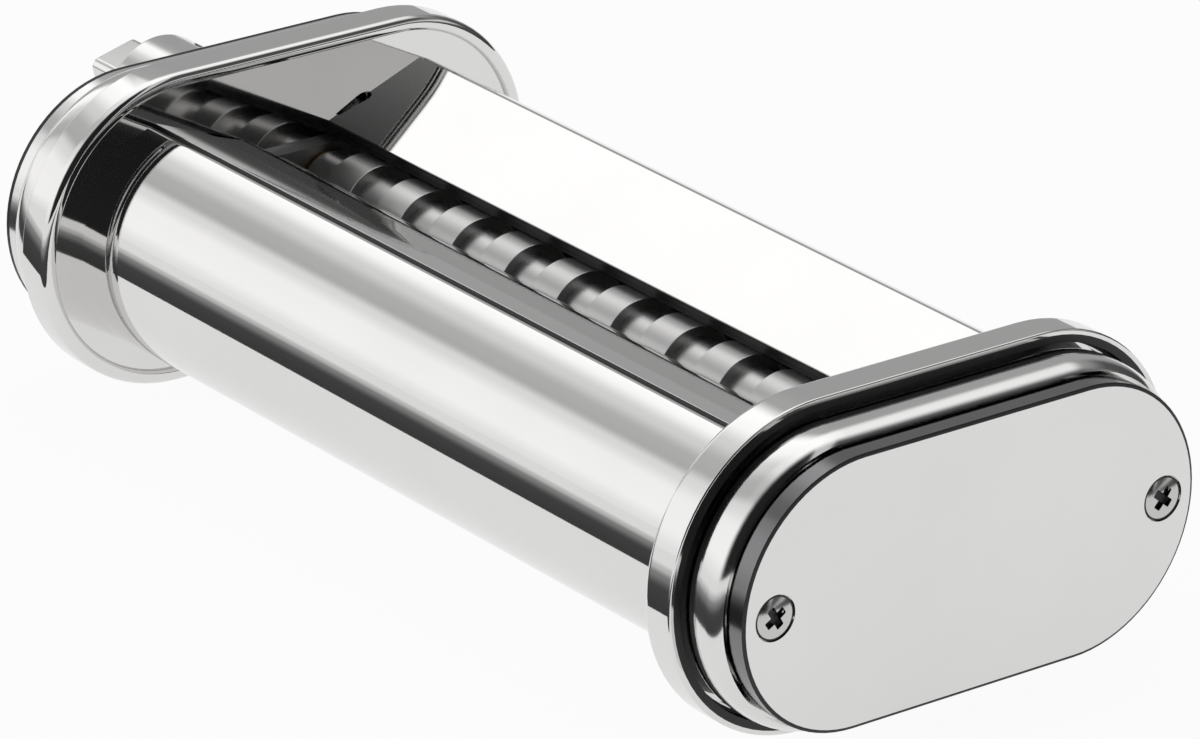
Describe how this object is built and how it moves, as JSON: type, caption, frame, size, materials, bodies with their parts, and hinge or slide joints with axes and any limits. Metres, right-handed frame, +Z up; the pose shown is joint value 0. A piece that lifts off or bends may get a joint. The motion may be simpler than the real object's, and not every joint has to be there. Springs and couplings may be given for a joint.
{
  "type": "noodle cutter attachment",
  "caption": "Polished roller attachment that cuts pasta sheets into noodles, with two meshing cutter rollers under a hopper, oval end caps and a square drive tang.",
  "frame": {"origin": "middle of the overall box on the surface that the two end caps stand on", "axes": "+X from the drive tang to the plain end, -Y the front, +Z up, away from the surface"},
  "size_m": [0.2198, 0.0936, 0.0518],
  "materials": {
    "polished_shell": "mirror polished stainless steel",
    "side_frame_steel": "matte sheet steel",
    "drive_steel": "fine turned and polished steel",
    "cutter_steel": "machined steel with a satin finish",
    "comb_steel": "satin sheet steel",
    "plain_steel": "plain machined steel",
    "screw_steel": "bright zinc plated steel",
    "bronze": "oiled sintered bronze"
  },
  "bodies": {
    "housing": {"front_cover": "polished_shell", "rear_cover": "polished_shell", "plain_side_frame": "side_frame_steel", "drive_side_frame": "side_frame_steel", "front_upper_tie_rod": "plain_steel", "rear_upper_tie_rod": "plain_steel", "front_lower_tie_rod": "plain_steel", "rear_lower_tie_rod": "plain_steel", "plain_frame_screws": "screw_steel", "drive_frame_screws": "screw_steel", "front_stripper_comb": "comb_steel", "rear_stripper_comb": "comb_steel", "plain_front_bush": "bronze", "plain_rear_bush": "bronze", "drive_front_bush": "bronze", "drive_rear_bush": "bronze", "plain_end_wall": "polished_shell", "drive_end_wall": "polished_shell", "plain_end_cover": "polished_shell", "drive_end_cover": "polished_shell", "plain_end_posts": "plain_steel", "drive_end_posts": "plain_steel", "plain_end_plate": "polished_shell", "drive_end_plate": "polished_shell", "plain_end_screws": "screw_steel", "drive_end_screws": "screw_steel", "drive_sleeve": "drive_steel", "sleeve_bush": "bronze", "sleeve_screws": "screw_steel"},
    "rear_roller": {"rear_cutter_roller": "cutter_steel", "drive_shaft": "drive_steel", "drive_shaft_pin": "plain_steel", "rear_roller_gear": "plain_steel", "rear_gear_pin": "plain_steel", "rear_gear_clip": "plain_steel", "rear_thrust_washers": "bronze"},
    "front_roller": {"front_cutter_roller": "cutter_steel", "front_roller_gear": "plain_steel", "front_gear_pin": "plain_steel", "front_gear_clip": "plain_steel", "front_journal_clip": "plain_steel", "front_thrust_washers": "bronze"}
  },
  "joints": [
    {"name": "rear_roller_spin", "type": "hinge", "parent": "housing", "child": "rear_roller", "pos_m": [0, 0.0063, 0.0281], "axis": [1, 0, 0], "continuous": true},
    {"name": "front_roller_spin", "type": "hinge", "parent": "housing", "child": "front_roller", "pos_m": [0, -0.0063, 0.0281], "axis": [1, 0, 0], "continuous": true}
  ],
  "couplings": [
    {"joint": "front_roller_spin", "follows": "rear_roller_spin", "ratio": -1}
  ]
}
